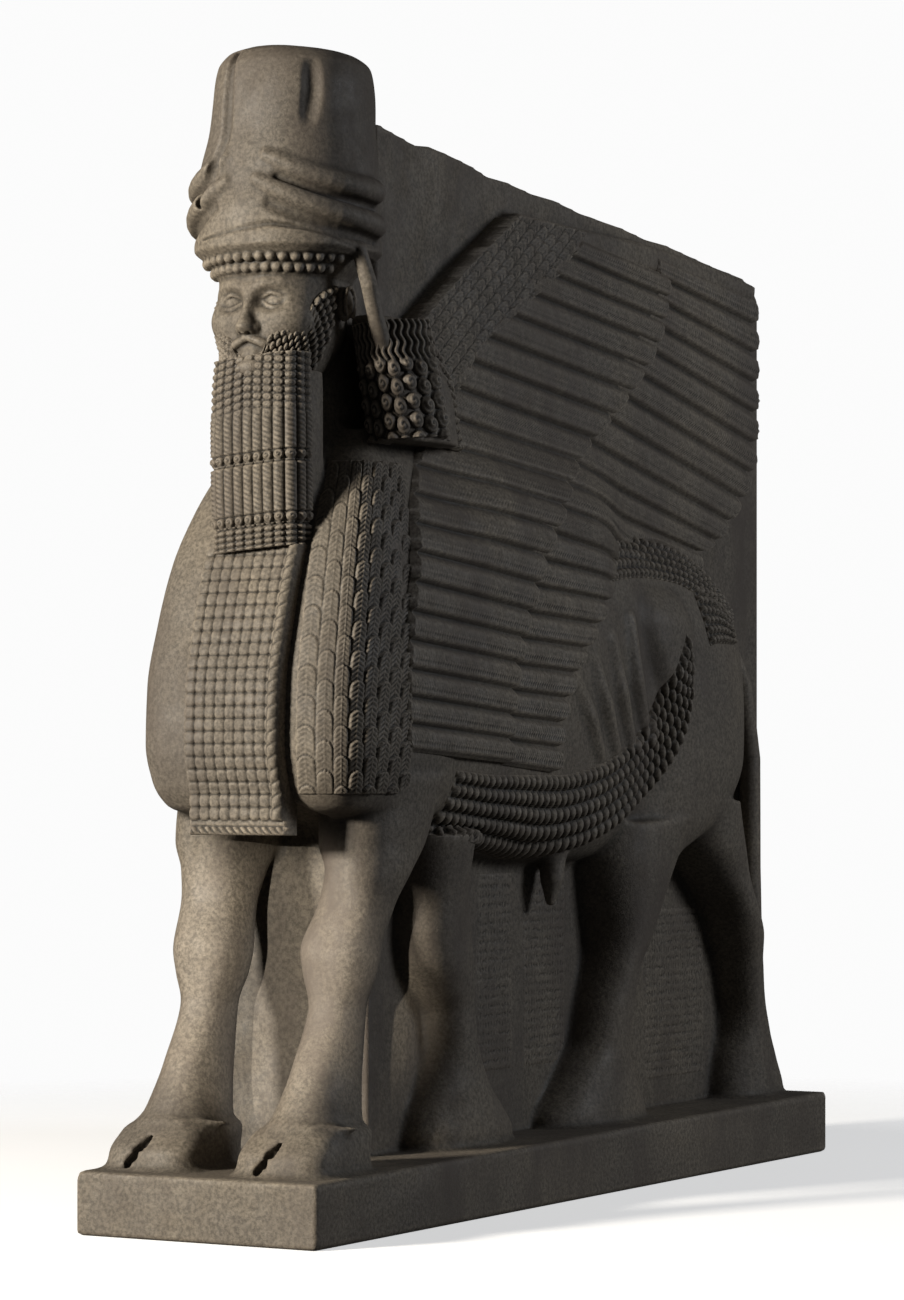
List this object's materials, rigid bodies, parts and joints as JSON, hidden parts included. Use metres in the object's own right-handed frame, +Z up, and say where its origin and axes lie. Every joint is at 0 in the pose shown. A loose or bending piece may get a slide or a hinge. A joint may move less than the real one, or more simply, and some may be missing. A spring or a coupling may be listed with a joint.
{
  "type": "winged bull gateway sculpture",
  "caption": "Upright stone block carved as a striding winged bull with a bearded human head and a tall horned cap, in high relief on one flank, on a low plinth of the same stone.",
  "frame": {"origin": "centre of the plinth's outline on its underside", "axes": "the bull faces -Y, +X points out of the carved flank, +Z is up"},
  "size_m": [0.738, 3.1, 3.122],
  "materials": {
    "stone": "rough grey-brown gypsum stone, worn smooth on the legs"
  },
  "bodies": {
    "root": {"winged_bull": "stone"}
  },
  "joints": []
}
